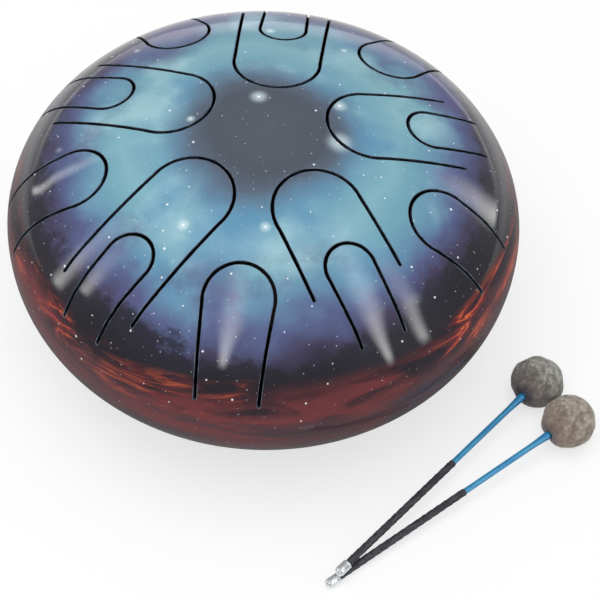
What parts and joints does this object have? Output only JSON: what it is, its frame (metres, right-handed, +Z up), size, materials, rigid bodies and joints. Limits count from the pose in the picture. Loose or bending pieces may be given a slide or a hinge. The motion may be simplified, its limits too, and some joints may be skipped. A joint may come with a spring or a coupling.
{
  "type": "steel tongue drum",
  "caption": "Closed steel drum whose domed top has round-tipped tongues cut in it, played with two felt-headed mallets that lie beside it.",
  "frame": {"origin": "on the drum's axis, on the surface that its feet stand on", "axes": "+Z up along the drum's axis; -Y is the side the picture is taken from, +X to its right"},
  "size_m": [0.3824, 0.3842, 0.1735],
  "materials": {
    "top_shell": "high gloss, nebula-coloured",
    "bottom_shell": "high gloss",
    "rim_weld": "ground flush and painted, high gloss",
    "long_tongue": "high gloss, nebula-coloured",
    "nested_tongue": "high gloss, nebula-coloured",
    "outer_tongue": "high gloss, nebula-coloured",
    "foot": "matte",
    "head_1": "felt",
    "head_2": "felt",
    "core": "matte",
    "shaft": "gloss",
    "grip": "satin, wrapped",
    "cap": "polished"
  },
  "bodies": {
    "drum": {"top_shell": "top_shell", "bottom_shell": "bottom_shell", "rim_weld": "rim_weld", "foot_1": "foot", "foot_2": "foot", "foot_3": "foot"},
    "long_tongue_1": {"long_tongue_1": "long_tongue"},
    "long_tongue_2": {"long_tongue_2": "long_tongue"},
    "long_tongue_3": {"long_tongue_3": "long_tongue"},
    "long_tongue_4": {"long_tongue_4": "long_tongue"},
    "long_tongue_5": {"long_tongue_5": "long_tongue"},
    "nested_tongue_1": {"nested_tongue_1": "nested_tongue"},
    "nested_tongue_2": {"nested_tongue_2": "nested_tongue"},
    "nested_tongue_3": {"nested_tongue_3": "nested_tongue"},
    "nested_tongue_4": {"nested_tongue_4": "nested_tongue"},
    "nested_tongue_5": {"nested_tongue_5": "nested_tongue"},
    "outer_tongue_1": {"outer_tongue_1": "outer_tongue"},
    "outer_tongue_2": {"outer_tongue_2": "outer_tongue"},
    "outer_tongue_3": {"outer_tongue_3": "outer_tongue"},
    "outer_tongue_4": {"outer_tongue_4": "outer_tongue"},
    "outer_tongue_5": {"outer_tongue_5": "outer_tongue"},
    "mallet_1": {"mallet_1_head": "head_1", "mallet_1_core": "core", "mallet_1_shaft": "shaft", "mallet_1_grip": "grip", "mallet_1_cap": "cap"},
    "mallet_2": {"mallet_2_head": "head_2", "mallet_2_core": "core", "mallet_2_shaft": "shaft", "mallet_2_grip": "grip", "mallet_2_cap": "cap"}
  },
  "joints": [
    {"name": "long_tongue_1_flex", "type": "hinge", "parent": "drum", "child": "long_tongue_1", "pos_m": [0.05584, -0.09829, 0.15039], "axis": [-0.8695, -0.4939, 0], "range_deg": [-0.3, 0.3], "stiffness_Nm_per_rad": 20, "springref_deg": -0.05},
    {"name": "long_tongue_2_flex", "type": "hinge", "parent": "drum", "child": "long_tongue_2", "pos_m": [0.11784, 0.02419, 0.14745], "axis": [0.2011, -0.9796, 0], "range_deg": [-0.3, 0.3], "stiffness_Nm_per_rad": 20, "springref_deg": -0.06},
    {"name": "long_tongue_3_flex", "type": "hinge", "parent": "drum", "child": "long_tongue_3", "pos_m": [0.01072, 0.13323, 0.1413], "axis": [0.9968, -0.0802, 0], "range_deg": [-0.3, 0.3], "stiffness_Nm_per_rad": 20, "springref_deg": -0.09},
    {"name": "long_tongue_4_flex", "type": "hinge", "parent": "drum", "child": "long_tongue_4", "pos_m": [-0.12293, 0.05576, 0.14055], "axis": [0.4131, 0.9107, 0], "range_deg": [-0.3, 0.3], "stiffness_Nm_per_rad": 20, "springref_deg": -0.09},
    {"name": "long_tongue_5_flex", "type": "hinge", "parent": "drum", "child": "long_tongue_5", "pos_m": [-0.09558, -0.10468, 0.13585], "axis": [-0.7385, 0.6743, 0], "range_deg": [-0.3, 0.3], "stiffness_Nm_per_rad": 20, "springref_deg": -0.1},
    {"name": "nested_tongue_1_flex", "type": "hinge", "parent": "drum", "child": "nested_tongue_1", "pos_m": [0.07189, -0.12655, 0.13385], "axis": [-0.8695, -0.4939, 0], "range_deg": [-0.3, 0.3], "stiffness_Nm_per_rad": 8, "springref_deg": -0.04},
    {"name": "nested_tongue_2_flex", "type": "hinge", "parent": "drum", "child": "nested_tongue_2", "pos_m": [0.13578, 0.02787, 0.13924], "axis": [0.2011, -0.9796, 0], "range_deg": [-0.3, 0.3], "stiffness_Nm_per_rad": 8, "springref_deg": -0.03},
    {"name": "nested_tongue_3_flex", "type": "hinge", "parent": "drum", "child": "nested_tongue_3", "pos_m": [0.01237, 0.15379, 0.12371], "axis": [0.9968, -0.0802, 0], "range_deg": [-0.3, 0.3], "stiffness_Nm_per_rad": 8, "springref_deg": -0.05},
    {"name": "nested_tongue_4_flex", "type": "hinge", "parent": "drum", "child": "nested_tongue_4", "pos_m": [-0.14051, 0.06374, 0.12371], "axis": [0.4131, 0.9107, 0], "range_deg": [-0.3, 0.3], "stiffness_Nm_per_rad": 8, "springref_deg": -0.05},
    {"name": "nested_tongue_5_flex", "type": "hinge", "parent": "drum", "child": "nested_tongue_5", "pos_m": [-0.10571, -0.11576, 0.11967], "axis": [-0.7385, 0.6743, 0], "range_deg": [-0.3, 0.3], "stiffness_Nm_per_rad": 8, "springref_deg": -0.04},
    {"name": "outer_tongue_1_flex", "type": "hinge", "parent": "drum", "child": "outer_tongue_1", "pos_m": [-0.0176, -0.15687, 0.11738], "axis": [-0.9938, 0.1115, 0], "range_deg": [-0.3, 0.3], "stiffness_Nm_per_rad": 12, "springref_deg": -0.06},
    {"name": "outer_tongue_2_flex", "type": "hinge", "parent": "drum", "child": "outer_tongue_2", "pos_m": [0.1388, -0.06296, 0.12618], "axis": [-0.4131, -0.9107, 0], "range_deg": [-0.3, 0.3], "stiffness_Nm_per_rad": 12, "springref_deg": -0.04},
    {"name": "outer_tongue_3_flex", "type": "hinge", "parent": "drum", "child": "outer_tongue_3", "pos_m": [0.10631, 0.11642, 0.11778], "axis": [0.7385, -0.6743, 0], "range_deg": [-0.3, 0.3], "stiffness_Nm_per_rad": 12, "springref_deg": -0.05},
    {"name": "outer_tongue_4_flex", "type": "hinge", "parent": "drum", "child": "outer_tongue_4", "pos_m": [-0.07787, 0.13708, 0.11778], "axis": [0.8695, 0.4939, 0], "range_deg": [-0.3, 0.3], "stiffness_Nm_per_rad": 12, "springref_deg": -0.04},
    {"name": "outer_tongue_5_flex", "type": "hinge", "parent": "drum", "child": "outer_tongue_5", "pos_m": [-0.15565, -0.03195, 0.11515], "axis": [-0.2011, 0.9796, 0], "range_deg": [-0.3, 0.3], "stiffness_Nm_per_rad": 12, "springref_deg": -0.05},
    {"name": "mallet_1_lift", "type": "slide", "parent": "drum", "child": "mallet_1", "axis": [0, 0, 1], "range_m": [0, 0.25]},
    {"name": "mallet_2_draw", "type": "slide", "parent": "drum", "child": "mallet_2", "axis": [0.5959, -0.8031, 0], "range_m": [0, 0.2]}
  ]
}
